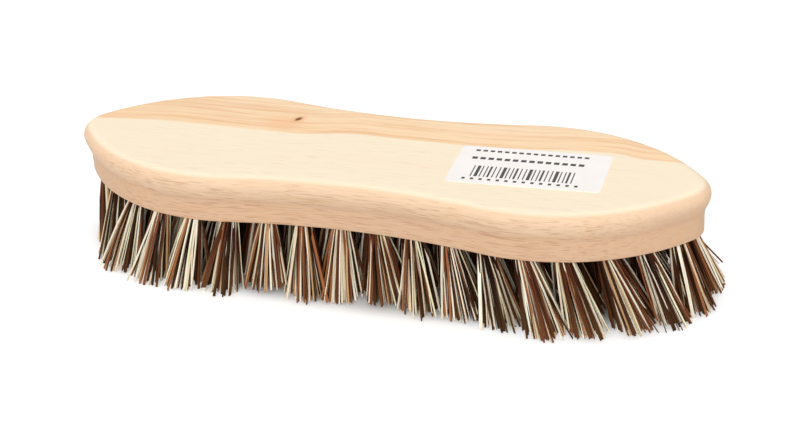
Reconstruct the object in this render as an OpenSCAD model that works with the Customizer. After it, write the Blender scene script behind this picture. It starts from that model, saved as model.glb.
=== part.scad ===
// Wooden scrub brush with a waisted beech block and plant-fibre tufts.
// The brush stands on its bristle tips, which are trimmed level at z = 0.
// Length runs along X, width along Y, and the bare top of the block faces +Z.
// Each tuft is a bundle of fibres folded round a flat wire anchor in a blind hole.

/* [Wooden block] */

// Length of the block from nose to nose
block_length = 220; // [200:1:244]
// Width across the widest place of each lobe
block_width = 68; // [64:1:76]
// How far each side draws in at the waist
waist_depth = 5; // [3:0.5:7]
// Distance between the widest places of the two lobes
lobe_spacing = 109; // [100:1:118]
// Radius of the two noses, seen from above
nose_radius = 12; // [10:0.5:15]
// Thickness of the block
block_thickness = 17; // [15:0.5:24]
// Radius of the rounded top edge
top_edge_radius = 4; // [2:0.5:5]
// How far the side wall is set in below the top lip
cove_depth = 1.9; // [0.8:0.1:2.4]
// Height of the hollow curve between the lip and the side wall
cove_height = 6.5; // [4:0.5:8]

/* [Tuft holes] */

// Diameter of the drilled holes
hole_diameter = 5.6; // [5.4:0.1:6.2]
// Depth of the drilled holes, along their own axis
hole_depth = 11; // [9:0.5:12.5]
// Distance from the block's widest outline to the outer ring of holes
ring_inset = 6.4; // [6:0.1:7.4]

/* [Bristles] */

// Height of the block above the trimmed tips
bristle_length = 25; // [20:0.5:34]
// Outward lean of the tips along the length, as a share of the distance from the middle
lean_along = 0.095; // [0.05:0.005:0.11]
// Outward lean of the tips across the width, as a share of the distance from the middle
lean_across = 0.18; // [0.1:0.01:0.2]
// Share of the lean along the length that the end tufts keep, on the two noses
nose_lean_share = 0.55; // [0.5:0.05:1]
// Distance of the outer fibre tips from the middle of their tuft
tuft_spread = 4.3; // [3:0.1:4.5]
// Unevenness left by the trimming, as the shortest fibre's gap to the floor
trim_unevenness = 1.2; // [0:0.1:2]

/* [Paper label] */

// Length of the label along the brush
label_length = 50; // [30:1:56]
// Width of the label across the brush
label_width = 26.5; // [15:0.5:30]
// Distance from the nose to the middle of the label
label_from_nose = 58; // [52:1:64]
// Distance of the label's middle from the brush's middle line, towards the front edge
label_off_middle = 2.2; // [0:0.1:4]
// Angle by which the label was stuck on askew
label_angle = 3.9; // [0:0.1:6]

/* [Hidden] */

// Half sizes of the outline in plan
half_length = block_length / 2;
half_width = block_width / 2;
waist_half_width = half_width - waist_depth;
lobe_x = lobe_spacing / 2;

// The outline is made of tangent arcs: a nose, a lobe and a hollow waist arc per quarter
nose_gap = half_length - lobe_x;
lobe_radius = (pow(nose_gap, 2) + pow(half_width, 2) - 2 * nose_radius * nose_gap)
    / (2 * (half_width - nose_radius));
waist_radius = (pow(lobe_x, 2) + pow(waist_depth, 2)) / (2 * waist_depth) - lobe_radius;
nose_centre_x = half_length - nose_radius;
lobe_centre_y = half_width - lobe_radius;
waist_centre_y = waist_half_width + waist_radius;

// Turns of the arcs in degrees: the nose arc ends at nose_turn, the lobe arc at lobe_turn
nose_turn = atan2(-lobe_centre_y, nose_centre_x - lobe_x);
lobe_turn = atan2(waist_centre_y - lobe_centre_y, -lobe_x);
waist_turn = atan2(lobe_x, waist_centre_y - lobe_centre_y);

// Heights above the floor
underside_z = bristle_length;
top_z = underside_z + block_thickness;
lip_z = top_z - top_edge_radius;
neck_z = lip_z - cove_height;

// Steps of the curved outline and of the curved edge profile
nose_steps = 5;
lobe_steps = 10;
waist_steps = 5;
edge_steps = 4;

// Tufts: 18 pairs round the edge, 13 pairs inside them and 14 in the middle line
edge_pairs = 18;
inner_pairs = 13;
middle_tufts = 14;
pairs_per_quarter = edge_pairs / 2;
rows_without_middle = (edge_pairs - middle_tufts) / 2;
middle_line_from_nose = 25.5;
tuft_pitch = (half_length - middle_line_from_nose) / ((middle_tufts - 1) / 2);

// Sides of a drilled hole, and how far its cutter starts below the underside
hole_sides = 12;
cutter_overrun = 2;

// Fibres of one tuft
strands_around = 5;
root_ring_radius = 1.45;
root_strand_radius = 0.7;
tip_strand_radius = 0.95;
root_grip = 1;

// Distance after which the pattern of fibres cut short moves on by one fibre
trim_step = 3;

// Plug of folded fibres in the hole
plug_sides = 6;
plug_clearance = 0.2;
plug_radius = hole_diameter / 2 - plug_clearance;
plug_below = 1.2;
plug_end_gap = 0.3;

// Flat wire anchor that holds the fold of each tuft
anchor_end_gap = 0.225;
anchor_length = hole_diameter - 2 * anchor_end_gap;
anchor_thickness = 0.5;
anchor_height = 1.5;
anchor_clearance = 0.15;
anchor_from_bottom = 2.6;
anchor_depth = hole_depth - anchor_from_bottom;

label_thickness = 0.15;

// Colours
beech = [0.93, 0.78, 0.6];
steel_grey = [0.7, 0.7, 0.72];
paper_white = [0.95, 0.95, 0.95];
cream_fibre = [0.86, 0.82, 0.66];
brown_fibre = [0.45, 0.26, 0.14];

// Arc lengths of one quarter of the outline, drawn in by inset
function nose_run(inset) = (nose_radius - inset) * nose_turn * PI / 180;
function lobe_run(inset) = (lobe_radius - inset) * (lobe_turn - nose_turn) * PI / 180;
function waist_run(inset) = (waist_radius + inset) * waist_turn * PI / 180;
function quarter_run(inset) = nose_run(inset) + lobe_run(inset) + waist_run(inset);

// Points on the three arcs of the quarter with x and y above zero
function on_nose(inset, turn) =
    [nose_centre_x + (nose_radius - inset) * cos(turn), (nose_radius - inset) * sin(turn)];
function on_lobe(inset, turn) =
    [lobe_x + (lobe_radius - inset) * cos(turn), lobe_centre_y + (lobe_radius - inset) * sin(turn)];
function on_waist(inset, turn) =
    [(waist_radius + inset) * sin(turn), waist_centre_y - (waist_radius + inset) * cos(turn)];

// Point at a distance along the quarter, from the nose towards the waist
function along_quarter(inset, run) =
    run < nose_run(inset)
        ? on_nose(inset, nose_turn * run / nose_run(inset))
        : run < nose_run(inset) + lobe_run(inset)
            ? on_lobe(inset, nose_turn
                + (lobe_turn - nose_turn) * (run - nose_run(inset)) / lobe_run(inset))
            : on_waist(inset, waist_turn
                * (quarter_run(inset) - run) / waist_run(inset));

// Half width of the drawn-in outline at a distance x from the middle, outside the noses
function half_width_at(inset, x) =
    abs(x) < (waist_radius + inset) * sin(waist_turn)
        ? waist_centre_y - sqrt(pow(waist_radius + inset, 2) - x * x)
        : lobe_centre_y + sqrt(pow(lobe_radius - inset, 2) - pow(abs(x) - lobe_x, 2));

// One quarter of the outline as points, from the nose to the middle of the waist
function quarter_points(inset) = [
    for (i = [0 : nose_steps - 1]) on_nose(inset, nose_turn * i / nose_steps),
    for (i = [0 : lobe_steps - 1])
        on_lobe(inset, nose_turn + (lobe_turn - nose_turn) * i / lobe_steps),
    for (i = [0 : waist_steps]) on_waist(inset, waist_turn * (1 - i / waist_steps)),
];
quarter_count = nose_steps + lobe_steps + waist_steps;

// The whole outline, anticlockwise from the nose on the +X side
function outline_points(inset) =
    let (q = quarter_points(inset))
    concat(
        q,
        [for (i = [quarter_count - 1 : -1 : 0]) [-q[i][0], q[i][1]]],
        [for (i = [1 : quarter_count]) [-q[i][0], -q[i][1]]],
        [for (i = [quarter_count - 1 : -1 : 1]) [q[i][0], -q[i][1]]]
    );
outline_count = 4 * quarter_count;

// Edge profile as [inset, height], from the neck up through the cove and the rounded edge
edge_profile = concat(
    [for (i = [0 : edge_steps - 1])
        let (t = i / edge_steps)
        [cove_depth * (1 - t * t * (3 - 2 * t)), neck_z + cove_height * t]],
    [for (i = [0 : edge_steps])
        let (turn = 90 * i / edge_steps)
        [top_edge_radius * (1 - cos(turn)), lip_z + top_edge_radius * sin(turn)]]
);
profile_count = len(edge_profile);

// Tuft positions on the underside
function edge_tuft(pair, side) =
    let (
        step = pair <= pairs_per_quarter ? pair : edge_pairs + 1 - pair,
        sign_x = pair <= pairs_per_quarter ? -1 : 1,
        p = along_quarter(ring_inset, quarter_run(ring_inset) * (step - 0.5) / pairs_per_quarter)
    )
    [sign_x * p[0], side * p[1]];

function inner_tuft(pair, side) =
    let (x = tuft_pitch * (pair - (inner_pairs + 1) / 2))
    [x, side * half_width_at(ring_inset, x) / 2];

function middle_tuft(number) = [tuft_pitch * (number - (middle_tufts + 1) / 2), 0];

// Lean of a tuft along the length: the tufts on the noses stand more upright
function lean_along_at(x) = lean_along * (abs(x) > nose_centre_x ? nose_lean_share : 1);

// Where the middle of a tuft meets the floor
function tip_centre(base) =
    [base[0] * (1 + lean_along_at(base[0])), base[1] * (1 + lean_across)];

// Direction of a tuft's axis, from its tips up into the block
function tuft_axis(base) =
    let (tip = tip_centre(base))
    [base[0] - tip[0], base[1] - tip[1], bristle_length];

function mirror_sign(v) = v < 0 ? -1 : 1;

// Offset of one fibre from the middle of its tuft, mirrored between the four quarters
function strand_offset(strand, base) =
    strand == 0
        ? [0, 0]
        : let (turn = (360 * strand - 180) / strands_around)
        [mirror_sign(base[0]) * cos(turn), mirror_sign(base[1]) * sin(turn)];

// Gap that the trimming left under one fibre: two in three fibres touch the floor
function trim_gap(strand, base) =
    let (count = round(abs(base[0]) / trim_step) + round(abs(base[1]) / trim_step) + strand)
    count % 3 == 1 ? trim_unevenness * (1 + count % 2) / 2 : 0;

// Places its children at a tuft's hole, with +Z along the hole and into the block
module at_tuft(base) {
    axis = tuft_axis(base);
    tilt = atan2(norm([axis[0], axis[1]]), axis[2]);
    heading = atan2(axis[1], axis[0]);
    translate([base[0], base[1], underside_z])
        rotate([0, 0, heading])
            rotate([0, tilt, 0])
                rotate([0, 0, -heading])
                    children();
}

// One three-sided fibre with level ends, from its root in the plug to its tip
module strand(root, tip) {
    ends = [[root, root_strand_radius], [tip, tip_strand_radius]];
    corners = [
        for (end = ends)
            for (turn = [30, 150, 270])
                [end[0][0] + end[1] * cos(turn), end[0][1] + end[1] * sin(turn), end[0][2]]
    ];
    sides = [
        for (i = [0 : 2])
            let (j = (i + 1) % 3)
            each [[i, j, j + 3], [i, j + 3, i + 3]]
    ];
    polyhedron(points = corners, faces = concat([[0, 2, 1], [3, 4, 5]], sides));
}

// The folded root of a tuft: a six-sided plug with a window for its anchor
module tuft_plug() {
    difference() {
        translate([0, 0, -plug_below])
            cylinder(
                r = plug_radius,
                h = plug_below + hole_depth - plug_end_gap,
                $fn = plug_sides
            );
        translate([0, 0, anchor_depth])
            cube([
                anchor_thickness + 2 * anchor_clearance,
                hole_diameter,
                anchor_height + 2 * anchor_clearance
            ], center = true);
    }
}

// One tuft: its plug and its splayed fibres as one solid
module tuft(base) {
    tip = tip_centre(base);
    grip_share = root_grip / bristle_length;
    root = [base[0] - (tip[0] - base[0]) * grip_share, base[1] - (tip[1] - base[1]) * grip_share];
    union() {
        at_tuft(base) tuft_plug();
        for (strand = [0 : strands_around]) {
            offset = strand_offset(strand, base);
            strand(
                [
                    root[0] + root_ring_radius * offset[0],
                    root[1] + root_ring_radius * offset[1],
                    underside_z + root_grip
                ],
                [
                    tip[0] + tuft_spread * offset[0],
                    tip[1] + tuft_spread * offset[1],
                    trim_gap(strand, base)
                ]
            );
        }
    }
}

// Calls its children once for every tuft
module at_every_tuft() {
    for (side = [-1, 1]) {
        for (pair = [1 : edge_pairs]) {
            at_tuft(edge_tuft(pair, side)) children();
        }
        for (pair = [1 : inner_pairs]) {
            at_tuft(inner_tuft(pair, side)) children();
        }
    }
    for (number = [1 : middle_tufts]) {
        at_tuft(middle_tuft(number)) children();
    }
}

// The side wall below the neck, down to the drilled underside
module lower_wall() {
    translate([0, 0, underside_z])
        linear_extrude(neck_z - underside_z)
            polygon(outline_points(cove_depth));
}

// The coved side, the lip and the rounded top edge
module moulded_edge() {
    points = [
        for (row = edge_profile)
            for (p = outline_points(row[0]))
                [p[0], p[1], row[1]]
    ];
    walls = [
        for (row = [0 : profile_count - 2])
            for (i = [0 : outline_count - 1])
                let (
                    j = (i + 1) % outline_count,
                    low = row * outline_count,
                    high = low + outline_count
                )
                each [[low + j, low + i, high + i], [low + j, high + i, high + j]]
    ];
    last = (profile_count - 1) * outline_count;
    bottom = [for (i = [0 : outline_count - 1]) i];
    top = [for (i = [outline_count - 1 : -1 : 0]) last + i];
    polyhedron(points = points, faces = concat([bottom, top], walls));
}

module wooden_block() {
    color(beech)
        difference() {
            union() {
                lower_wall();
                moulded_edge();
            }
            at_every_tuft()
                translate([0, 0, -cutter_overrun])
                    cylinder(d = hole_diameter, h = hole_depth + cutter_overrun, $fn = hole_sides);
        }
}

module wire_anchors() {
    color(steel_grey)
        at_every_tuft()
            translate([0, 0, anchor_depth])
                cube([anchor_thickness, anchor_length, anchor_height], center = true);
}

module paper_label() {
    color(paper_white)
        translate([half_length - label_from_nose, -label_off_middle, top_z])
            rotate([0, 0, label_angle])
                translate([-label_length / 2, -label_width / 2, 0])
                    cube([label_length, label_width, label_thickness]);
}

// A row that crosses the whole brush: two edge tufts, and a middle one away from the noses
module edge_row(row) {
    color(row % 2 == 0 ? cream_fibre : brown_fibre) {
        tuft(edge_tuft(row, -1));
        tuft(edge_tuft(row, 1));
        if (row > rows_without_middle && row <= edge_pairs - rows_without_middle) {
            tuft(middle_tuft(row - rows_without_middle));
        }
    }
}

// A row between two edge rows: one tuft on each side of the middle line
module inner_row(row) {
    color(row % 2 == 0 ? brown_fibre : cream_fibre) {
        tuft(inner_tuft(row, -1));
        tuft(inner_tuft(row, 1));
    }
}

wooden_block();
wire_anchors();
paper_label();
edge_row(1);  // edge_row_01
edge_row(2);  // edge_row_02
edge_row(3);  // edge_row_03
edge_row(4);  // edge_row_04
edge_row(5);  // edge_row_05
edge_row(6);  // edge_row_06
edge_row(7);  // edge_row_07
edge_row(8);  // edge_row_08
edge_row(9);  // edge_row_09
edge_row(10);  // edge_row_10
edge_row(11);  // edge_row_11
edge_row(12);  // edge_row_12
edge_row(13);  // edge_row_13
edge_row(14);  // edge_row_14
edge_row(15);  // edge_row_15
edge_row(16);  // edge_row_16
edge_row(17);  // edge_row_17
edge_row(18);  // edge_row_18
inner_row(1);  // inner_row_01
inner_row(2);  // inner_row_02
inner_row(3);  // inner_row_03
inner_row(4);  // inner_row_04
inner_row(5);  // inner_row_05
inner_row(6);  // inner_row_06
inner_row(7);  // inner_row_07
inner_row(8);  // inner_row_08
inner_row(9);  // inner_row_09
inner_row(10);  // inner_row_10
inner_row(11);  // inner_row_11
inner_row(12);  // inner_row_12
inner_row(13);  // inner_row_13
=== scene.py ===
"""Looks of the wooden scrub brush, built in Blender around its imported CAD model.

All sizes below are in millimetres and all places are in the CAD frame: length along X,
width along Y, and the bristle tips on the floor at z = 0. Meshes are written in metres.
"""

import math
import random

import bmesh
import bpy
from mathutils import Matrix, Vector


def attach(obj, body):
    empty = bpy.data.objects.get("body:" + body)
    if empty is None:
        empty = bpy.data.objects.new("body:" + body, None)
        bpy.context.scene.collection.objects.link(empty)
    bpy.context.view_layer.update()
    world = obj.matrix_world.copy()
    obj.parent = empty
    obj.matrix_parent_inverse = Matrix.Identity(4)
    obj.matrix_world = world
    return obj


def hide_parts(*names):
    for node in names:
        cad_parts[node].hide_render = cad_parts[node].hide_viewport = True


MM = 0.001

# Outline of the block: nose, lobe and waist arcs
HALF_LENGTH = 110.0
HALF_WIDTH = 34.0
WAIST_DEPTH = 5.0
LOBE_X = 54.5
NOSE_RADIUS = 12.0
NOSE_STEPS = 12
LOBE_STEPS = 36
WAIST_STEPS = 18

NOSE_GAP = HALF_LENGTH - LOBE_X
LOBE_RADIUS = (NOSE_GAP ** 2 + HALF_WIDTH ** 2 - 2 * NOSE_RADIUS * NOSE_GAP) / (
    2 * (HALF_WIDTH - NOSE_RADIUS)
)
WAIST_RADIUS = (LOBE_X ** 2 + WAIST_DEPTH ** 2) / (2 * WAIST_DEPTH) - LOBE_RADIUS
NOSE_CENTRE_X = HALF_LENGTH - NOSE_RADIUS
LOBE_CENTRE_Y = HALF_WIDTH - LOBE_RADIUS
WAIST_CENTRE_Y = HALF_WIDTH - WAIST_DEPTH + WAIST_RADIUS
NOSE_TURN = math.atan2(-LOBE_CENTRE_Y, NOSE_CENTRE_X - LOBE_X)
LOBE_TURN = math.atan2(WAIST_CENTRE_Y - LOBE_CENTRE_Y, -LOBE_X)
WAIST_TURN = math.atan2(LOBE_X, WAIST_CENTRE_Y - LOBE_CENTRE_Y)

# Heights and edge profile of the block
UNDERSIDE_Z = 25.0
TOP_Z = 42.0
LIP_Z = 38.0
NECK_Z = 31.5
TOP_EDGE_RADIUS = 4.0
COVE_DEPTH = 1.9
ARRIS = 0.5
ARRIS_STEPS = 3
WALL_RING_RISE = 2.5
RIM_WIDTH = 1.0
EDGE_STEPS = 10

# Tuft holes
RING_INSET = 6.4
HOLE_RADIUS = 2.8
HOLE_DEPTH = 11.0
HOLE_SIDES = 24
PAIRS_PER_QUARTER = 9
EDGE_PAIRS = 2 * PAIRS_PER_QUARTER
INNER_PAIRS = 13
MIDDLE_TUFTS = 14
PAIRS_WITHOUT_MIDDLE = (EDGE_PAIRS - MIDDLE_TUFTS) // 2
TUFT_PITCH = 13.0

# Textures, as features per millimetre along X, Y and Z
EDGE_GRAIN = (0.03, 0.05, 0.05)
BAND_GRAIN = (0.008, 0.2, 0.2)
STREAK_GRAIN = (0.022, 0.8, 0.8)
SIDE_PORE_GRAIN = (0.13, 0.8, 4.6)
TOP_PORE_GRAIN = (0.12, 2.4, 0.6)
FIBRE_STREAK_GRAIN = (3.5, 3.5, 0.1)
FIBRE_PATCH_GRAIN = (0.4, 0.9, 0.07)
PAPER_CLOUD_GRAIN = (0.12, 0.12, 0.12)
PAPER_TOOTH_GRAIN = (3.0, 3.0, 3.0)
INK_GRAIN = (4.0, 4.0, 4.0)
WIRE_GRAIN = (0.3, 8.0, 8.0)

# Heights between which one look of the wood fades into the next, among them the painted light
# of the cove, lip and top and the painted shade of the moulded edge
COVE_LIGHT_HEIGHTS = (NECK_Z + 1.1, NECK_Z + 3.9)
LIP_LIGHT_HEIGHTS = (LIP_Z - 2.0, LIP_Z + 1.4)
SIDE_HEIGHTS = (LIP_Z, TOP_Z - 0.2)
TOP_LIGHT_HEIGHTS = (TOP_Z - 1.2, TOP_Z)
SIDE_PORE_HEIGHTS = (TOP_Z - 1.2, TOP_Z - 0.1)
PORE_DEPTH_HEIGHTS = (LIP_Z + 0.6, TOP_Z - 0.4)
PAINTED_SHADE_HEIGHTS = (LIP_Z, TOP_Z - 0.3)

# Edge of the heartwood strip: its wander with the noise, its place across the block at the
# left-hand end, and its rises from there, as (start, end, rise) along X
EDGE_WANDER = 2.0
STRIP_START = -0.9
STRIP_RISES = (
    (-112.0, -80.0, 4.6),
    (-36.0, -10.0, 4.6),
    (24.0, 76.0, 5.4),
    (76.0, 86.0, -1.8),
)

# The strip's soft edge, and how its tint weakens from there towards the back
STRIP_EDGE = (-0.3, 0.9)
STRIP_FADE = 22.0
STRIP_DEPTHS = (0.95, 0.6)

# Stretches from the middle to the ends in which the cove's painted light and the pores fade
COVE_LIGHT_FADE = (86.0, 104.0)
COVE_LIGHT_END_SHARE = 0.35
PORE_FADE = (74.0, 104.0)
PORE_END_SHARE = 0.25

# Levels of the noise between which the bands, streaks and pores set in
BAND_LEVELS = (0.42, 0.72)
STREAK_LEVELS = (0.48, 0.72)
PALE_STREAK_LEVELS = (0.46, 0.28)
STREAKY_BAND_LEVELS = (0.3, 0.6)
SIDE_PORE_LEVELS = (0.57, 0.69)
TOP_PORE_LEVELS = (0.62, 0.72)

# How strongly the grain shows on the top, how much more on the side, and in the strip
TOP_GRAIN_DEPTH = 0.04
SIDE_BAND_DEPTH = 0.22
SIDE_STREAK_DEPTH = 0.15
STRIP_BAND_DEPTH = 0.5
STRIP_STREAK_DEPTHS = (0.25, 0.75)
PALE_STREAK_DEPTH = 0.4
PORE_DEPTHS = (0.45, 0.1)

# Knot: its place, the direction of its long axis, its half axes and its unevenness
KNOT_PLACE = (-36.1, 16.3)
KNOT_DIRECTION = (0.4, 0.92)
KNOT_HALF_AXES = (1.5, 0.95)
KNOT_ROUGHNESS = 0.8

# Halo round the knot: the way from its middle to the knot, its half axes and unevenness
HALO_TO_KNOT = (4.0, 3.5)
HALO_HALF_AXES = (12.0, 7.5)
HALO_ROUGHNESS = 0.6

# How their tints fade out, as (from, to, first depth, last depth) in half axes
HALO_FADE = (0.1, 1.0, 0.6, 0.0)
KNOT_RING_FADE = (0.8, 3.4, 0.7, 0.0)
KNOT_FADE = (0.55, 1.4, 0.95, 0.0)

# Painted shade: brightness of the moulded edge against the planed top
PAINTED_EDGE_SHADE = 0.86

# Fibres of a tuft, the room round them in the hole, how deep in it their fold and their
# first bend lie, and the turn from each to the next, which packs them evenly
FIBRES_PER_TUFT = 92
HOLE_ROOM = 0.1
FOLD_DEPTH = 8.4
GRIP_DEPTH = 0.5
GOLDEN_TURN = math.pi * (3 - math.sqrt(5))

# Lean of the tufts, as shares of their distance from the middle, their sweep along X, their
# twist about the middle, and how far they wander on the floor and end above it
LEAN_ALONG = 0.095
LEAN_ACROSS = 0.18
NOSE_LEAN_SHARE = 0.55
SWEEP = 2.2
LEFT_END_SWEEP = 6.2
END_X = 88.0
TWIST = 0.018
TUFT_WANDER = 0.7
TUFT_LIFT = 0.9

# Fan of a tuft at the floor along X and Y, and its share of pale fibres: fewer in the inner
# tufts as painted shade, more in the waist as painted light
SIDE_FAN = (7.1, 5.9)
END_FAN = (5.9, 6.5)
INNER_FAN = (7.6, 7.4)
SHADED_INNER_PALE_SHARE = 0.45
EDGE_PALE_SHARE = 0.82
LIT_WAIST_PALE_SHARE = 0.95
RIGHT_END_PALE_SHARE = 0.55
WAIST_X = 48.0

# Tips: their wobble, gap to the floor and reach, with stray fibres of their own
STRAY_SHARE = 0.15
STRAY_WOBBLE = 2.4
END_STRAY_WOBBLE = 1.1
WOBBLE = 0.7
TIP_GAP = 0.5
STRAY_GAP = (0.5, 2.0)
REACH_X = 113.5
REACH_Y = 38.6

# Widths and thickness of the fibres, each between two limits, and the share of broad ones
PALE_WIDTH = (0.3, 0.65)
DARK_WIDTH = (0.45, 0.9)
BROAD_SHARE = 0.07
BROAD_PALE_WIDTH = (0.8, 1.2)
BROAD_DARK_WIDTH = (1.0, 1.7)
FIBRE_THICKNESS = (0.25, 0.42)

# Path of a fibre: its bow to any side, its bulge out of the hole, the slant of its cut tip
# and the shares of the way from mouth to tip at which it bends
BOW = 0.25
BULGE = 0.5
TIP_SLANT = 0.35
PATH_SHARES = (0.12, 0.4, 0.7, 1.0)

# Seed of the first row, and the range from which a fibre's texture takes its own
FIRST_SEED = 1000
TEXTURE_SEEDS = 500

# Label
LABEL_CENTRE = (52.0, -2.2)
LABEL_LENGTH = 50.0
LABEL_WIDTH = 26.5
LABEL_TURN = math.radians(3.9)
LABEL_THICKNESS = 0.15
LABEL_CORNER = 1.6
CORNER_STEPS = 5

# Rows of even dashes on the label as (middle, height, dash, gap)
DASH_ROWS = ((10.3, 1.3, 1.5, 0.9), (4.7, 1.7, 1.8, 0.9), (-10.3, 1.3, 1.1, 1.7))
DASH_SPAN = (-20.0, 19.5)

# Bars on the label: widths and gaps that repeat, and where the bars start and end
BAR_WIDTHS = (0.4, 1.1, 0.4, 0.4, 0.7, 0.4)
BAR_GAPS = (0.8, 0.6, 1.0, 0.7, 0.9, 1.1)
BAR_SPAN = (-17.8, 16.0)
BAR_RISE = (-8.6, -0.8)

# Floor: its size and grey, and how far it is lifted to white outside an ellipse round the
# brush, with the ellipse's half axes and the shares of them between which the lift sets in
FLOOR_SIZE = 8000.0
FLOOR_GREY = (0.78, 0.78, 0.78, 1.0)
FLOOR_LIFT = 0.42
SHADOW_REACH = (112.0, 36.0)
SHADOW_FADE = (0.82, 1.08)

# Light: the surround's strength, and the sun's direction and spread in degrees
WHITE = (1.0, 1.0, 1.0, 1.0)
SURROUND_STRENGTH = 0.78
SUN_AZIMUTH = -80.0
SUN_HEIGHT = 27.0
SUN_SPREAD = 35.0
SUN_STRENGTH = 1.42

# Camera: its place, direction and roll in degrees, and its lens in pixels of the photograph
CAMERA_PLACE = (193.762, -484.426, 288.646)
CAMERA_AZIMUTH = -68.769
CAMERA_HEIGHT = 27.7587
CAMERA_ROLL = -3.3
LENS_PIXELS = 1740.69
PHOTO_PIXELS = 800.0
SENSOR_WIDTH = 36.0
NEAR_LIMIT = 10.0
FAR_LIMIT = 50000.0


def srgb(red, green, blue):
    """A linear RGBA colour from sRGB values of 0 to 255."""
    def linear(value):
        value /= 255
        return value / 12.92 if value <= 0.04045 else ((value + 0.055) / 1.055) ** 2.4
    return linear(red), linear(green), linear(blue), 1.0


# Colours of the wood, from the wall up to the planed top, then of the heartwood strip: painted
# shade on the wall, and painted light in the cove, on the lip and on the top
SHADED_WALL_COLOUR = srgb(226, 188, 154)
LIT_COVE_COLOUR = srgb(242, 210, 175)
LIT_LIP_COLOUR = srgb(240, 206, 172)
LIT_TOP_COLOUR = srgb(255, 239, 211)
SHADED_STRIP_WALL_COLOUR = srgb(232, 184, 138)
LIT_STRIP_LIP_COLOUR = srgb(246, 198, 152)
LIT_STRIP_TOP_COLOUR = srgb(255, 220, 177)

# Colours of the grain and the knot
BAND_COLOUR = srgb(238, 184, 134)
STREAK_COLOUR = srgb(236, 176, 122)
PALE_STREAK_COLOUR = srgb(255, 230, 188)
PORE_COLOUR = srgb(176, 122, 84)
HALO_COLOUR = srgb(250, 194, 148)
KNOT_RING_COLOUR = srgb(246, 184, 132)
KNOT_COLOUR = srgb(112, 52, 0)

# Base colours of the fibres with the share of each, from cream to dark brown; a colour with
# more red than PALE_RED is a pale one, and FIBRE_LIGHT is how much single fibres vary
FIBRE_COLOURS = (
    (srgb(255, 247, 226), 0.26),
    (srgb(236, 232, 198), 0.12),
    (srgb(242, 226, 198), 0.08),
    (srgb(206, 166, 122), 0.05),
    (srgb(152, 96, 60), 0.06),
    (srgb(114, 64, 42), 0.08),
    (srgb(88, 47, 26), 0.10),
    (srgb(56, 29, 14), 0.15),
    (srgb(34, 16, 7), 0.14),
)
PALE_RED = 0.6
FIBRE_LIGHT = (0.9, 1.1)

# Tints along the fibres, and the height below which painted light on the tips sets in
FIBRE_STREAK_COLOUR = srgb(150, 108, 70)
FIBRE_PATCH_COLOUR = srgb(225, 178, 112)
FIBRE_TIP_LIGHT_COLOUR = srgb(255, 190, 120)
TIP_LIGHT_HEIGHT = 18.0

# Colours of the paper, the print and the wire, each between two shades
PAPER_COLOURS = (srgb(255, 250, 246), srgb(252, 246, 242))
INK_COLOURS = (srgb(58, 54, 54), srgb(96, 91, 90))
WIRE_COLOURS = (srgb(176, 178, 182), srgb(205, 206, 209))


# Outline and tuft places


def on_nose(inset, turn):
    """Point of the nose arc, drawn in by inset."""
    radius = NOSE_RADIUS - inset
    return NOSE_CENTRE_X + radius * math.cos(turn), radius * math.sin(turn)


def on_lobe(inset, turn):
    """Point of the lobe arc, drawn in by inset."""
    radius = LOBE_RADIUS - inset
    return LOBE_X + radius * math.cos(turn), LOBE_CENTRE_Y + radius * math.sin(turn)


def on_waist(inset, turn):
    """Point of the hollow waist arc, drawn in by inset."""
    radius = WAIST_RADIUS + inset
    return radius * math.sin(turn), WAIST_CENTRE_Y - radius * math.cos(turn)


def along_quarter(inset, share):
    """Point at a share of the way from the nose to the waist along the outline."""
    nose_run = (NOSE_RADIUS - inset) * NOSE_TURN
    lobe_run = (LOBE_RADIUS - inset) * (LOBE_TURN - NOSE_TURN)
    waist_run = (WAIST_RADIUS + inset) * WAIST_TURN
    run = share * (nose_run + lobe_run + waist_run)
    if run < nose_run:
        return on_nose(inset, NOSE_TURN * run / nose_run)
    run -= nose_run
    if run < lobe_run:
        return on_lobe(inset, NOSE_TURN + (LOBE_TURN - NOSE_TURN) * run / lobe_run)
    run -= lobe_run
    return on_waist(inset, WAIST_TURN * (1 - run / waist_run))


def half_width_at(inset, x):
    """Half width of the drawn-in outline at a distance x from the middle."""
    radius = WAIST_RADIUS + inset
    if abs(x) < radius * math.sin(WAIST_TURN):
        return WAIST_CENTRE_Y - math.sqrt(radius ** 2 - x ** 2)
    radius = LOBE_RADIUS - inset
    return LOBE_CENTRE_Y + math.sqrt(radius ** 2 - (abs(x) - LOBE_X) ** 2)


def outline(inset):
    """The whole outline, anticlockwise, with the same number of points at any inset."""
    quarter = [on_nose(inset, NOSE_TURN * i / NOSE_STEPS) for i in range(NOSE_STEPS)]
    quarter += [
        on_lobe(inset, NOSE_TURN + (LOBE_TURN - NOSE_TURN) * i / LOBE_STEPS)
        for i in range(LOBE_STEPS)
    ]
    quarter += [
        on_waist(inset, WAIST_TURN * (1 - i / WAIST_STEPS)) for i in range(WAIST_STEPS + 1)
    ]
    left = [(-x, y) for x, y in quarter[-2::-1]]
    lower_left = [(-x, -y) for x, y in quarter[1:]]
    lower_right = [(x, -y) for x, y in quarter[-2:0:-1]]
    return quarter + left + lower_left + lower_right


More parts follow.
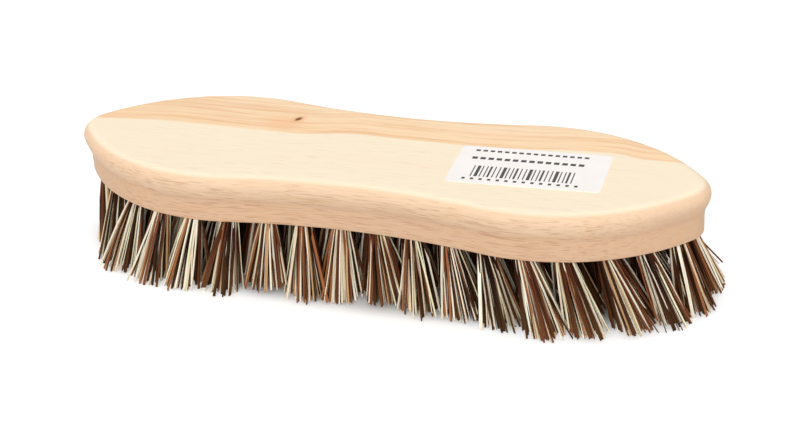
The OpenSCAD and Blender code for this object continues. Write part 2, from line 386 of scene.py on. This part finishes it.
def edge_profile():
    """The block's edge as (inset, height) pairs, from the underside up to the flat top."""
    rows = []
    for i in range(ARRIS_STEPS + 1):
        turn = math.pi / 2 * i / ARRIS_STEPS
        rows.append((
            COVE_DEPTH + ARRIS * (1 - math.sin(turn)),
            UNDERSIDE_Z + ARRIS * (1 - math.cos(turn)),
        ))
    rows.append((COVE_DEPTH, UNDERSIDE_Z + WALL_RING_RISE))
    for i in range(EDGE_STEPS):
        t = i / EDGE_STEPS
        rows.append((
            COVE_DEPTH * (1 - t * t * (3 - 2 * t)),
            NECK_Z + (LIP_Z - NECK_Z) * t,
        ))
    for i in range(EDGE_STEPS + 1):
        turn = math.pi / 2 * i / EDGE_STEPS
        rows.append((
            TOP_EDGE_RADIUS * (1 - math.cos(turn)),
            LIP_Z + TOP_EDGE_RADIUS * math.sin(turn),
        ))
    rows.append((TOP_EDGE_RADIUS + RIM_WIDTH, TOP_Z))
    return rows


def edge_tuft(pair, side):
    """Place of one tuft of the outer ring, on the underside."""
    on_left = pair <= PAIRS_PER_QUARTER
    step = pair if on_left else EDGE_PAIRS + 1 - pair
    x, y = along_quarter(RING_INSET, (step - 0.5) / PAIRS_PER_QUARTER)
    return (-x if on_left else x), side * y


def inner_tuft(pair, side):
    """Place of one tuft between the outer ring and the middle line."""
    x = TUFT_PITCH * (pair - (INNER_PAIRS + 1) / 2)
    return x, side * half_width_at(RING_INSET, x) / 2


def middle_tuft(number):
    """Place of one tuft of the middle line."""
    return TUFT_PITCH * (number - (MIDDLE_TUFTS + 1) / 2), 0.0


def tuft_rows():
    """Every CAD row node with the places of its tufts."""
    rows = {}
    for pair in range(1, EDGE_PAIRS + 1):
        places = [edge_tuft(pair, -1), edge_tuft(pair, 1)]
        if PAIRS_WITHOUT_MIDDLE < pair <= EDGE_PAIRS - PAIRS_WITHOUT_MIDDLE:
            places.append(middle_tuft(pair - PAIRS_WITHOUT_MIDDLE))
        rows[f"edge_row_{pair:02d}"] = places
    for pair in range(1, INNER_PAIRS + 1):
        rows[f"inner_row_{pair:02d}"] = [inner_tuft(pair, -1), inner_tuft(pair, 1)]
    return rows


def tuft_lean(place):
    """How far a tuft's tips lean out from its hole."""
    x, y = place
    share = NOSE_LEAN_SHARE if abs(x) > NOSE_CENTRE_X else 1.0
    return Vector((x * LEAN_ALONG * share, y * LEAN_ACROSS, 0.0))


def tuft_axis(place):
    """Direction of a tuft from its tips up into the block."""
    return (Vector((0.0, 0.0, UNDERSIDE_Z)) - tuft_lean(place)).normalized()


# Materials


class Nodes:
    """A node tree with short calls to add and link nodes."""

    def __init__(self, tree):
        self.tree = tree

    def add(self, kind, inputs=(), **settings):
        """Adds a node; inputs are (socket, value or output socket) pairs."""
        node = self.tree.nodes.new(kind)
        for key, value in settings.items():
            setattr(node, key, value)
        for socket, value in inputs:
            if isinstance(value, bpy.types.NodeSocket):
                self.tree.links.new(value, node.inputs[socket])
            else:
                node.inputs[socket].default_value = value
        return node

    def math(self, operation, *values):
        """One Math node."""
        return self.add(
            "ShaderNodeMath", list(enumerate(values)), operation=operation
        ).outputs[0]

    def span(self, value, low, high, to_low=0.0, to_high=1.0):
        """Maps low..high smoothly onto to_low..to_high."""
        return self.add("ShaderNodeMapRange", [
            (0, value), (1, low), (2, high), (3, to_low), (4, to_high),
        ], interpolation_type="SMOOTHSTEP").outputs[0]

    def backdrop_ray(self):
        """1 for the camera, glossy and transmission rays, which see a plain white ground."""
        path = self.add("ShaderNodeLightPath").outputs
        seen = self.math("MAXIMUM", path["Is Camera Ray"], path["Is Glossy Ray"])
        return self.math("MAXIMUM", seen, path["Is Transmission Ray"])


class Shader(Nodes):
    """A material of one Principled surface, with calls for textures and colours."""

    def __init__(self, name, roughness, specular):
        self.material = bpy.data.materials.new(name)
        self.material.use_nodes = True
        super().__init__(self.material.node_tree)
        self.surface = self.tree.nodes["Principled BSDF"]
        self.fix("Roughness", roughness)
        self.fix("Specular IOR Level", specular)

    def fix(self, socket, value):
        """Gives a socket of the surface a value that is the same all over it."""
        self.surface.inputs[socket].default_value = value

    def set(self, socket, value):
        """Links a value to a socket of the surface."""
        self.tree.links.new(value, self.surface.inputs[socket])

    def place(self):
        """Object coordinates in millimetres."""
        coords = self.add("ShaderNodeTexCoord").outputs["Object"]
        return self.stretched(coords, (1 / MM, 1 / MM, 1 / MM))

    def stretched(self, place, factors):
        """Coordinates multiplied by factors, such as features per millimetre."""
        return self.add(
            "ShaderNodeVectorMath", [(0, place), (1, factors)], operation="MULTIPLY"
        ).outputs[0]

    def split(self, vector):
        """The X, Y and Z of a vector."""
        return self.add("ShaderNodeSeparateXYZ", [(0, vector)]).outputs

    def joined(self, x, y, z=0.0):
        """A vector of three values."""
        return self.add("ShaderNodeCombineXYZ", [(0, x), (1, y), (2, z)]).outputs[0]

    def length(self, vector):
        """Length of a vector."""
        return self.add(
            "ShaderNodeVectorMath", [(0, vector)], operation="LENGTH"
        ).outputs["Value"]

    def noise(self, vector, detail=2.0, roughness=0.5, distortion=0.0):
        """Plain noise of scale 1 at a stretched vector, from 0 to 1."""
        return self.add("ShaderNodeTexNoise", [
            ("Vector", vector), ("Scale", 1.0), ("Detail", detail),
            ("Roughness", roughness), ("Distortion", distortion),
        ]).outputs["Fac"]

    def mix(self, share, first, second, blend="MIX"):
        """Mixes two colours."""
        return self.add("ShaderNodeMix", [
            (0, share), (6, first), (7, second),
        ], data_type="RGBA", blend_type=blend).outputs[2]

    def layer(self, colour, over, share, depth):
        """Lays one colour over another, as thickly as share times depth."""
        return self.mix(self.math("MULTIPLY", share, depth), colour, over)

    def bump(self, height, distance_mm, strength):
        """Feeds a height into the surface's normal."""
        node = self.add("ShaderNodeBump", [
            ("Height", height), ("Distance", distance_mm * MM), ("Strength", strength),
        ])
        self.set("Normal", node.outputs["Normal"])


class WoodGrain(Shader):
    """The fields that the layers of the beech share, and those layers."""

    def __init__(self, name, roughness, specular):
        super().__init__(name, roughness, specular)
        self.at = self.place()
        self.x, self.y, self.z = self.split(self.at)
        self.from_middle = self.math("ABSOLUTE", self.x)
        # Shares of the painted light on the top and on the lip, by height
        self.top_light = self.span(self.z, *TOP_LIGHT_HEIGHTS)
        self.lip_light = self.span(self.z, *LIP_LIGHT_HEIGHTS)
        self.on_side = self.span(self.z, *SIDE_HEIGHTS, 1.0, 0.0)
        self.past_edge = self.math("SUBTRACT", self.y, self.strip_edge())
        self.in_strip = self.span(self.past_edge, *STRIP_EDGE)
        flow = self.joined(self.x, self.past_edge, self.z)
        self.bands = self.noise(self.stretched(flow, BAND_GRAIN), 3.0, 0.55, 0.6)
        self.streaks = self.noise(self.stretched(flow, STREAK_GRAIN), 3.0, 0.6, 0.5)
        self.side_pores = self.noise(self.stretched(self.at, SIDE_PORE_GRAIN), 0.0, 0.5, 0.3)
        self.top_pores = self.noise(self.stretched(self.at, TOP_PORE_GRAIN), 0.0, 0.5, 0.3)

    def strip_edge(self):
        """Where the heartwood strip begins across the block, with a wandering edge."""
        edge = self.noise(self.stretched(self.at, EDGE_GRAIN))
        edge = self.math("MULTIPLY_ADD", edge, EDGE_WANDER, STRIP_START)
        for start, end, rise in STRIP_RISES:
            edge = self.math("ADD", edge, self.span(self.x, start, end, 0.0, rise))
        return edge

    def wood_with_painted_light(self):
        """Painted light and shade: cream on the lit planed top, peach painted light in the lip and
        cove, and tan painted shade on the wall below.
        """
        # Painted light: the cove is lightened against the shade under the lip, less so towards the
        # ends
        cove_light = self.math(
            "MULTIPLY", self.span(self.z, *COVE_LIGHT_HEIGHTS),
            self.span(self.from_middle, *COVE_LIGHT_FADE, 1.0, COVE_LIGHT_END_SHARE),
        )
        colour = self.mix(cove_light, SHADED_WALL_COLOUR, LIT_COVE_COLOUR)
        colour = self.mix(self.lip_light, colour, LIT_LIP_COLOUR)
        return self.mix(self.top_light, colour, LIT_TOP_COLOUR)

    def heartwood(self, colour):
        """The warmer strip along the back, with painted light on its lip and top and painted shade
        on its wall.
        """
        warm = self.mix(self.lip_light, SHADED_STRIP_WALL_COLOUR, LIT_STRIP_LIP_COLOUR)
        warm = self.mix(self.top_light, warm, LIT_STRIP_TOP_COLOUR)
        fade = self.span(self.past_edge, 0.0, STRIP_FADE, *STRIP_DEPTHS)
        return self.layer(colour, warm, self.in_strip, fade)

    def growth(self, colour):
        """Broad growth bands and fine streaks, which follow the strip's edge."""
        bands = self.span(self.bands, *BAND_LEVELS)
        depth = self.grain_depth(SIDE_BAND_DEPTH, STRIP_BAND_DEPTH)
        colour = self.layer(colour, BAND_COLOUR, bands, depth)
        streaks = self.span(self.streaks, *STREAK_LEVELS)
        in_bands = self.span(self.bands, *STREAKY_BAND_LEVELS, *STRIP_STREAK_DEPTHS)
        depth = self.grain_depth(SIDE_STREAK_DEPTH, in_bands)
        colour = self.layer(colour, STREAK_COLOUR, streaks, depth)
        pale = self.math("MULTIPLY", self.span(self.streaks, *PALE_STREAK_LEVELS), self.in_strip)
        return self.layer(colour, PALE_STREAK_COLOUR, pale, PALE_STREAK_DEPTH)

    def grain_depth(self, on_side, in_strip):
        """How strongly bands or streaks show: faintly on the top, more on side and strip."""
        return self.math(
            "MAXIMUM", self.math("MULTIPLY_ADD", self.on_side, on_side, TOP_GRAIN_DEPTH),
            self.math("MULTIPLY", self.in_strip, in_strip),
        )

    def pores(self):
        """Pores along the grain, from 0 to 1, long on the top and short on the side."""
        on_flat = self.span(self.z, *SIDE_PORE_HEIGHTS)
        off_flat = self.span(on_flat, 0.0, 1.0, 1.0, 0.0)
        side_pores = self.span(self.side_pores, *SIDE_PORE_LEVELS)
        top_pores = self.span(self.top_pores, *TOP_PORE_LEVELS)
        return self.math(
            "MAXIMUM", self.math("MULTIPLY", side_pores, off_flat),
            self.math("MULTIPLY", top_pores, on_flat),
        )

    def darkened(self, colour, pores):
        """The dark pores, clearer on the side than on the top or the end grain."""
        depth = self.math(
            "MULTIPLY", self.span(self.z, *PORE_DEPTH_HEIGHTS, *PORE_DEPTHS),
            self.span(self.from_middle, *PORE_FADE, 1.0, PORE_END_SHARE),
        )
        return self.layer(colour, PORE_COLOUR, pores, depth)

    def in_ellipse(self, x, y, half_axes, noise, roughness):
        """Distance from an ellipse's middle, about 1 at its edge, made uneven by noise."""
        distance = self.length(self.joined(
            self.math("DIVIDE", x, half_axes[0]), self.math("DIVIDE", y, half_axes[1]),
        ))
        distance = self.math("SUBTRACT", distance, roughness / 2)
        return self.math("MULTIPLY_ADD", noise, roughness, distance)

    def knot(self, colour):
        """A dark sliver in a ring and a wide halo of warmer wood."""
        x = self.math("SUBTRACT", self.x, KNOT_PLACE[0])
        y = self.math("SUBTRACT", self.y, KNOT_PLACE[1])
        halo = self.in_ellipse(
            self.math("ADD", x, HALO_TO_KNOT[0]), self.math("ADD", y, HALO_TO_KNOT[1]),
            HALO_HALF_AXES, self.streaks, HALO_ROUGHNESS,
        )
        colour = self.mix(self.span(halo, *HALO_FADE), colour, HALO_COLOUR)

        right, up = KNOT_DIRECTION
        along = self.math("MULTIPLY_ADD", x, right, self.math("MULTIPLY", y, up))
        across = self.math("MULTIPLY_ADD", x, up, self.math("MULTIPLY", y, -right))
        core = self.in_ellipse(along, across, KNOT_HALF_AXES, self.top_pores, KNOT_ROUGHNESS)
        colour = self.mix(self.span(core, *KNOT_RING_FADE), colour, KNOT_RING_COLOUR)
        return self.mix(self.span(core, *KNOT_FADE), colour, KNOT_COLOUR)

    def with_painted_shade(self, colour):
        """Painted shade: the moulded edge a little darker than the planed top."""
        shade = self.span(self.z, *PAINTED_SHADE_HEIGHTS, PAINTED_EDGE_SHADE, 1.0)
        return self.add(
            "ShaderNodeVectorMath", [(0, colour), (3, shade)], operation="SCALE"
        ).outputs[0]


def beech():
    """Pale planed beech with lengthwise grain, pores, a warmer strip and one small knot."""
    wood = WoodGrain("beech", 0.55, 0.3)
    pores = wood.pores()
    colour = wood.wood_with_painted_light()
    colour = wood.heartwood(colour)
    colour = wood.growth(colour)
    colour = wood.darkened(colour, pores)
    colour = wood.knot(colour)
    # Painted shade: the moulded edge is darkened below the lit top
    wood.set("Base Color", wood.with_painted_shade(colour))
    wood.set("Roughness", wood.span(wood.streaks, 0.2, 0.8, 0.5, 0.62))
    wood.bump(wood.math("MULTIPLY_ADD", pores, -0.6, wood.streaks), 0.05, 0.5)
    return wood.material


def plant_fibre():
    """Dry split plant fibre: each fibre's own colour with streaks along its length."""
    shader = Shader("plant_fibre", 0.65, 0.08)
    place = shader.add("ShaderNodeAttribute", attribute_name="fibre_local").outputs["Vector"]
    colour = shader.add("ShaderNodeAttribute", attribute_name="fibre_colour").outputs["Color"]
    streaks = shader.noise(shader.stretched(place, FIBRE_STREAK_GRAIN), 2.0, 0.6)
    share = shader.span(streaks, 0.4, 0.72, 0.0, 0.35)
    colour = shader.mix(share, colour, FIBRE_STREAK_COLOUR, "MULTIPLY")
    patches = shader.noise(shader.stretched(place, FIBRE_PATCH_GRAIN))
    share = shader.span(patches, 0.45, 0.75, 0.0, 0.28)
    colour = shader.mix(share, colour, FIBRE_PATCH_COLOUR, "MULTIPLY")
    # Painted light: the fibres turn paler and warmer towards the tips
    height = shader.split(shader.place())[2]
    share = shader.span(height, TIP_LIGHT_HEIGHT, 0.0, 0.0, 0.05)
    shader.set("Base Color", shader.mix(share, colour, FIBRE_TIP_LIGHT_COLOUR))
    shader.set("Roughness", shader.span(streaks, 0.3, 0.7, 0.52, 0.7))
    shader.bump(streaks, 0.08, 0.6)
    return shader.material


def label_paper():
    """Matt white label paper with a faint fibre texture."""
    shader = Shader("label_paper", 0.6, 0.3)
    place = shader.place()
    cloud = shader.noise(shader.stretched(place, PAPER_CLOUD_GRAIN), 3.0)
    tooth = shader.noise(shader.stretched(place, PAPER_TOOTH_GRAIN), 3.0, 0.6)
    shader.set("Base Color", shader.mix(shader.span(cloud, 0.3, 0.7), *PAPER_COLOURS))
    shader.set("Roughness", shader.span(tooth, 0.3, 0.7, 0.55, 0.7))
    shader.bump(tooth, 0.02, 0.4)
    return shader.material


def printing_ink():
    """Slightly uneven dark grey print."""
    shader = Shader("printing_ink", 0.5, 0.3)
    speck = shader.noise(shader.stretched(shader.place(), INK_GRAIN), 2.0, 0.7)
    shader.set("Base Color", shader.mix(shader.span(speck, 0.4, 0.75), *INK_COLOURS))
    return shader.material


def anchor_wire():
    """Drawn flat steel wire."""
    shader = Shader("anchor_wire", 0.35, 0.5)
    shader.fix("Metallic", 1.0)
    drawn = shader.noise(shader.stretched(shader.place(), WIRE_GRAIN))
    shader.set("Base Color", shader.mix(shader.span(drawn, 0.3, 0.7), *WIRE_COLOURS))
    shader.set("Roughness", shader.span(drawn, 0.3, 0.7, 0.28, 0.45))
    return shader.material


# Adding a piece


def link(name, mesh, materials, slot, *nodes):
    """Adds a piece of the object: on the root body, in place of the given CAD nodes."""
    piece = bpy.data.objects.new(name, mesh)
    bpy.context.collection.objects.link(piece)
    for material in materials:
        mesh.materials.append(material)
    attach(piece, "root")
    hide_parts(*nodes)


# Wooden block


def drill_hole(bm, place):
    """Adds one blind hole's wall and floor, and returns its rim on the underside."""
    axis = tuft_axis(place)
    across = axis.cross(Vector((0, 1, 0))).normalized()
    other = axis.cross(across)
    mouth = Vector((place[0], place[1], UNDERSIDE_Z))
    rim = []
    floor = []
    for i in range(HOLE_SIDES):
        turn = 2 * math.pi * i / HOLE_SIDES
        offset = HOLE_RADIUS * (math.cos(turn) * across + math.sin(turn) * other)
        at_mouth = mouth + offset - axis * (offset.z / axis.z)
        rim.append(bm.verts.new(at_mouth * MM))
        floor.append(bm.verts.new((mouth + offset + axis * HOLE_DEPTH) * MM))
    for i in range(HOLE_SIDES):
        j = (i + 1) % HOLE_SIDES
        bm.faces.new((rim[i], rim[j], floor[j], floor[i])).smooth = True
    bm.faces.new(floor)
    return rim


def moulded_rings(bm):
    """Adds the block's edge and flat top, and returns the ring round the underside."""
    rings = [
        [bm.verts.new((x * MM, y * MM, z * MM)) for x, y in outline(inset)]
        for inset, z in edge_profile()
    ]
    count = len(rings[0])
    for low, high in zip(rings, rings[1:]):
        for i in range(count):
            j = (i + 1) % count
            bm.faces.new((low[i], low[j], high[j], high[i])).smooth = True
    bm.faces.new(rings[-1]).smooth = True
    return rings[0]


def wooden_block(places):
    """The waisted block with its moulded edge and every drilled hole."""
    bm = bmesh.new()
    lowest = moulded_rings(bm)
    loops = [lowest] + [drill_hole(bm, place) for place in places]
    edges = []
    for loop in loops:
        for i, vert in enumerate(loop):
            edges.append(bm.edges.get((vert, loop[(i + 1) % len(loop)])))
    for edge in edges[len(lowest):]:
        edge.smooth = False
    bmesh.ops.triangle_fill(bm, use_beauty=True, edges=edges, normal=(0, 0, -1))
    bmesh.ops.recalc_face_normals(bm, faces=bm.faces)
    mesh = bpy.data.meshes.new("beech_block")
    bm.to_mesh(mesh)
    bm.free()
    link("beech_block", mesh, [beech()], "beech_wood", "wooden_block")


# Bristles


class Bundle:
    """Collects the fibres of one piece as plain lists."""

    def __init__(self):
        self.points = []
        self.faces = []
        self.colours = []
        self.local = []

    def fibre(self, path, width, thickness, facing, slant, colour, seed):
        """Adds one flat four-sided fibre that follows path from its fold to its cut tip."""
        start = len(self.points)
        run = 0.0
        for i, point in enumerate(path):
            behind = path[max(i - 1, 0)]
            ahead = path[min(i + 1, len(path) - 1)]
            run += (point - behind).length
            along = (ahead - behind).normalized()
            wide = (facing - along * facing.dot(along)).normalized()
            flat = along.cross(wide)
            at_tip = i == len(path) - 1
            for side, face in ((-1, -1), (1, -1), (1, 1), (-1, 1)):
                corner = point + wide * (side * width / 2) + flat * (face * thickness / 2)
                if at_tip:
                    corner -= along * (side * slant)
                corner.z = max(corner.z, 0.0)
                self.points.append(corner * MM)
                self.colours.append(colour)
                self.local.append((side * width / 2, seed + face * thickness / 2, run))
        for ring in range(len(path) - 1):
            low = start + 4 * ring
            for k in range(4):
                j = (k + 1) % 4
                self.faces.append((low + k, low + j, low + 4 + j, low + 4 + k))
        end = start + 4 * (len(path) - 1)
        self.faces.append((start + 3, start + 2, start + 1, start))
        self.faces.append((end, end + 1, end + 2, end + 3))

    def mesh(self, name):
        """The collected fibres as one mesh with a colour for each fibre."""
        mesh = bpy.data.meshes.new(name)
        mesh.from_pydata([tuple(p) for p in self.points], [], self.faces)
        colours = mesh.attributes.new("fibre_colour", "FLOAT_COLOR", "POINT")
        colours.data.foreach_set("color", [part for colour in self.colours for part in colour])
        local = mesh.attributes.new("fibre_local", "FLOAT_VECTOR", "POINT")
        local.data.foreach_set("vector", [part for place in self.local for part in place])
        return mesh


def is_pale(colour):
    """Whether a fibre colour is one of the creams."""
    return colour[0] > PALE_RED


def pick_colour(pale_share, chance):
    """One fibre colour with a little variation in brightness, and whether it is a pale one."""
    weights = [share * (pale_share if is_pale(colour) else 1.0) for colour, share in FIBRE_COLOURS]
    colour = chance.choices([colour for colour, share in FIBRE_COLOURS], weights)[0]
    light = chance.uniform(*FIBRE_LIGHT)
    shade = tuple(min(part * light, 1.0) for part in colour[:3]) + (1.0,)
    return shade, is_pale(colour)


def pick_width(pale, chance):
    """Width of one fibre: a few are broad, and the pale ones are finer."""
    if chance.random() < BROAD_SHARE:
        return chance.uniform(*(BROAD_PALE_WIDTH if pale else BROAD_DARK_WIDTH))
    return chance.uniform(*(PALE_WIDTH if pale else DARK_WIDTH))


def tuft_foot(place, chance):
    """Where the middle of a tuft meets the floor."""
    x, y = place
    sweep = LEFT_END_SWEEP if x < -END_X else SWEEP
    foot = Vector((x + sweep, y + x * TWIST, 0.0)) + tuft_lean(place)
    return foot + Vector((chance.gauss(0, TUFT_WANDER), chance.gauss(0, TUFT_WANDER), 0.0))


def fibre_tip(foot, spread, fan, lift, at_end, chance):
    """Tip of one fibre, with its wobble and its gap to the floor."""
    stray = chance.random() < STRAY_SHARE
    stray_wobble = END_STRAY_WOBBLE if at_end else STRAY_WOBBLE
    wobble = stray_wobble if stray else WOBBLE
    tip = foot + Vector((spread.x * fan[0], spread.y * fan[1], 0))
    tip += Vector((chance.gauss(0, wobble), chance.gauss(0, wobble), 0))
    gap = abs(chance.gauss(0, TIP_GAP)) + (chance.uniform(*STRAY_GAP) if stray else 0.0)
    return Vector((
        min(max(tip.x, -REACH_X), REACH_X), min(max(tip.y, -REACH_Y), REACH_Y), lift + gap,
    ))


def fibre_path(root, tip, axis, spread, chance):
    """Path of one fibre from its fold in the hole, out of the mouth and down to its tip."""
    bow = Vector((chance.gauss(0, BOW), chance.gauss(0, BOW), 0))
    path = [root + axis * FOLD_DEPTH, root + axis * GRIP_DEPTH]
    for t in PATH_SHARES:
        bend = bow * math.sin(math.pi * t) + spread * (BULGE * 4 * t * (1 - t) ** 3)
        path.append(root.lerp(tip, t) + bend)
    return path


def grow_tuft(bundle, place, fan, pale_share, chance):
    """Adds one tuft: fibres packed in the hole that fan out towards the floor."""
    axis = tuft_axis(place)
    mouth = Vector((*place, UNDERSIDE_Z))
    at_end = abs(place[0]) > END_X
    foot = tuft_foot(place, chance)
    lift = max(0.0, chance.gauss(0.0, TUFT_LIFT))
    turn_start = chance.uniform(0, 2 * math.pi)
    for i in range(FIBRES_PER_TUFT):
        reach = math.sqrt((i + 0.5) / FIBRES_PER_TUFT)
        turn = turn_start + i * GOLDEN_TURN
        spread = Vector((math.cos(turn), math.sin(turn), 0)) * reach
        colour, pale = pick_colour(pale_share, chance)
        width = pick_width(pale, chance)
        root = mouth + spread * (HOLE_RADIUS - HOLE_ROOM - width / 2)
        tip = fibre_tip(foot, spread, fan, lift, at_end, chance)
        path = fibre_path(root, tip, axis, spread, chance)
        thickness = chance.uniform(*FIBRE_THICKNESS)
        facing_turn = chance.uniform(0, math.pi)
        facing = Vector((math.cos(facing_turn), math.sin(facing_turn), 0))
        slant = chance.uniform(-TIP_SLANT, TIP_SLANT)
        seed = chance.uniform(0, TEXTURE_SEEDS)
        bundle.fibre(path, width, thickness, facing, slant, colour, seed)


def tuft_style(node, place):
    """How far a tuft fans out at the floor along X and Y, and its share of pale fibres, lowered in
    the inner tufts as painted shade and raised in the waist as painted light.
    """
    x, y = place
    if y == 0.0 or node.startswith("inner"):
        return INNER_FAN, SHADED_INNER_PALE_SHARE
    if abs(x) < WAIST_X:
        return SIDE_FAN, LIT_WAIST_PALE_SHARE
    if x > END_X:
        return END_FAN, RIGHT_END_PALE_SHARE
    return END_FAN if x < -END_X else SIDE_FAN, EDGE_PALE_SHARE


def bristle_rows(rows):
    """One piece of loose fibres for each CAD row of tufts."""
    material = plant_fibre()
    for number, (node, places) in enumerate(rows.items()):
        chance = random.Random(FIRST_SEED + number)
        bundle = Bundle()
        for place in places:
            fan, pale_share = tuft_style(node, place)
            grow_tuft(bundle, place, fan, pale_share, chance)
        name = "fibres_" + node
        link(name, bundle.mesh(name), [material], "plant_fibre", node)


# Label


def label_outline():
    """Rounded rectangle of the label about its own middle."""
    points = []
    for quarter in range(4):
        side_x = 1 if quarter in (0, 3) else -1
        side_y = 1 if quarter in (0, 1) else -1
        centre_x = side_x * (LABEL_LENGTH / 2 - LABEL_CORNER)
        centre_y = side_y * (LABEL_WIDTH / 2 - LABEL_CORNER)
        for i in range(CORNER_STEPS + 1):
            turn = math.pi / 2 * (quarter + i / CORNER_STEPS)
            points.append((
                centre_x + LABEL_CORNER * math.cos(turn),
                centre_y + LABEL_CORNER * math.sin(turn),
            ))
    return points


def printed_marks():
    """Plain marks as (x0, x1, y0, y1): repeating bars between rows of even dashes."""
    marks = []
    x = BAR_SPAN[0]
    while x < BAR_SPAN[1]:
        for width, gap in zip(BAR_WIDTHS, BAR_GAPS):
            marks.append((x, x + width, *BAR_RISE))
            x += width + gap
    for middle, height, dash, gap in DASH_ROWS:
        x = DASH_SPAN[0]
        while x + dash < DASH_SPAN[1]:
            marks.append((x, x + dash, middle - height / 2, middle + height / 2))
            x += dash + gap
    return marks


def print_marks(bm, marks):
    """Cuts the label's face along its marks and gives them the second material."""
    cuts = [(x, 0, 0) for x in sorted({x for mark in marks for x in mark[:2]})]
    cuts += [(0, y, 0) for y in sorted({y for mark in marks for y in mark[2:]})]
    for place in cuts:
        bmesh.ops.bisect_plane(
            bm, geom=bm.verts[:] + bm.edges[:] + bm.faces[:], plane_co=place,
            plane_no=(1, 0, 0) if place[0] else (0, 1, 0),
        )
    for face in bm.faces:
        middle = face.calc_center_bounds()
        inked = any(x0 < middle.x < x1 and y0 < middle.y < y1 for x0, x1, y0, y1 in marks)
        face.material_index = 1 if inked else 0


def thicken(bm):
    """Adds the label's cut edge and its underside, in plain paper."""
    rim = [edge.verts[:] for edge in bm.edges if edge.is_boundary]
    below = {}
    for vert in [vert for ends in rim for vert in ends]:
        if vert not in below:
            below[vert] = bm.verts.new((vert.co.x, vert.co.y, 0.0))
    for first, second in rim:
        bm.faces.new((first, second, below[second], below[first]))
    base = [bm.edges.get((below[first], below[second])) for first, second in rim]
    bmesh.ops.contextual_create(bm, geom=base)


def paper_label():
    """The stuck-on label: thin paper with its print as faces of its own."""
    bm = bmesh.new()
    bm.faces.new([bm.verts.new((x, y, LABEL_THICKNESS)) for x, y in label_outline()])
    print_marks(bm, printed_marks())
    thicken(bm)
    bmesh.ops.recalc_face_normals(bm, faces=bm.faces)
    turn = Matrix.Rotation(LABEL_TURN, 4, "Z")
    shift = Matrix.Translation((*LABEL_CENTRE, TOP_Z))
    bm.transform(Matrix.Scale(MM, 4) @ shift @ turn)
    mesh = bpy.data.meshes.new("label_sheet")
    bm.to_mesh(mesh)
    bm.free()
    link("label_sheet", mesh, [label_paper(), printing_ink()], "label_paper", "paper_label")


# Wire anchors


def wire_anchors(anchors):
    """The anchors keep their CAD shape and get drawn wire as their material."""
    anchors.data.materials.clear()
    anchors.data.materials.append(anchor_wire())


# Floor, light and camera


def towards(azimuth, height):
    """Unit vector towards an azimuth and a height in degrees."""
    turn = math.radians(azimuth)
    rise = math.radians(height)
    return Vector((
        math.cos(rise) * math.cos(turn), math.cos(rise) * math.sin(turn), math.sin(rise),
    ))


def set_surround():
    """An even white surround, dimmer as a light than it looks."""
    world = bpy.data.worlds.new("studio")
    bpy.context.scene.world = world
    world.use_nodes = True
    nodes = Nodes(world.node_tree)
    background = nodes.tree.nodes["Background"]
    background.inputs["Color"].default_value = WHITE
    strength = nodes.span(nodes.backdrop_ray(), 0.0, 1.0, SURROUND_STRENGTH, 1.0)
    nodes.tree.links.new(strength, background.inputs["Strength"])


def add_floor():
    """Pale floor under the tips, lifted to white away from the brush, but not as a light."""
    bpy.ops.mesh.primitive_plane_add(size=FLOOR_SIZE * MM, location=(0, 0, 0))
    floor = bpy.context.object
    floor.name = "floor"
    shader = Shader("pale_floor", 0.9, 0.1)
    shader.fix("Base Color", FLOOR_GREY)
    shader.fix("Emission Color", WHITE)
    shares = shader.stretched(shader.place(), (1 / SHADOW_REACH[0], 1 / SHADOW_REACH[1], 1.0))
    lift = shader.span(shader.length(shares), *SHADOW_FADE, 0.0, FLOOR_LIFT)
    shader.set("Emission Strength", shader.math("MULTIPLY", shader.backdrop_ray(), lift))
    floor.data.materials.append(shader.material)


def add_sun():
    """One soft distant light from the front."""
    light = bpy.data.lights.new("key", "SUN")
    light.energy = SUN_STRENGTH
    light.angle = math.radians(SUN_SPREAD)
    lamp = bpy.data.objects.new("key", light)
    bpy.context.collection.objects.link(lamp)
    lamp.rotation_euler = towards(SUN_AZIMUTH, SUN_HEIGHT).to_track_quat("Z", "Y").to_euler()


def add_camera():
    """The camera at the photograph's view, from a fit of the block's outline."""
    data = bpy.data.cameras.new("camera")
    data.sensor_width = SENSOR_WIDTH
    data.lens = SENSOR_WIDTH * LENS_PIXELS / PHOTO_PIXELS
    data.clip_start = NEAR_LIMIT * MM
    data.clip_end = FAR_LIMIT * MM
    camera = bpy.data.objects.new("camera", data)
    bpy.context.collection.objects.link(camera)
    level = towards(CAMERA_AZIMUTH, CAMERA_HEIGHT).to_track_quat("Z", "Y").to_matrix().to_4x4()
    roll = Matrix.Rotation(math.radians(CAMERA_ROLL), 4, "Z")
    camera.matrix_world = Matrix.Translation(Vector(CAMERA_PLACE) * MM) @ level @ roll
    bpy.context.scene.camera = camera


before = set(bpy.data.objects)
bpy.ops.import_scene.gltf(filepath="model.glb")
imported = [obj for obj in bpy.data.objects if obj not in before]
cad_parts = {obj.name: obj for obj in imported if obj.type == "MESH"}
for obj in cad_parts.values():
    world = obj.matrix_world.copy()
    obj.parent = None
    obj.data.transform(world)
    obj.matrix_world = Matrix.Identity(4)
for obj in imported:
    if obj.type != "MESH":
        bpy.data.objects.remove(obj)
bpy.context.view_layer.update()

bpy.context.scene.view_settings.view_transform = "Standard"
set_surround()
add_floor()
add_sun()
add_camera()

rows = tuft_rows()
wooden_block([place for places in rows.values() for place in places])
bristle_rows(rows)
paper_label()
wire_anchors(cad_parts["wire_anchors"])
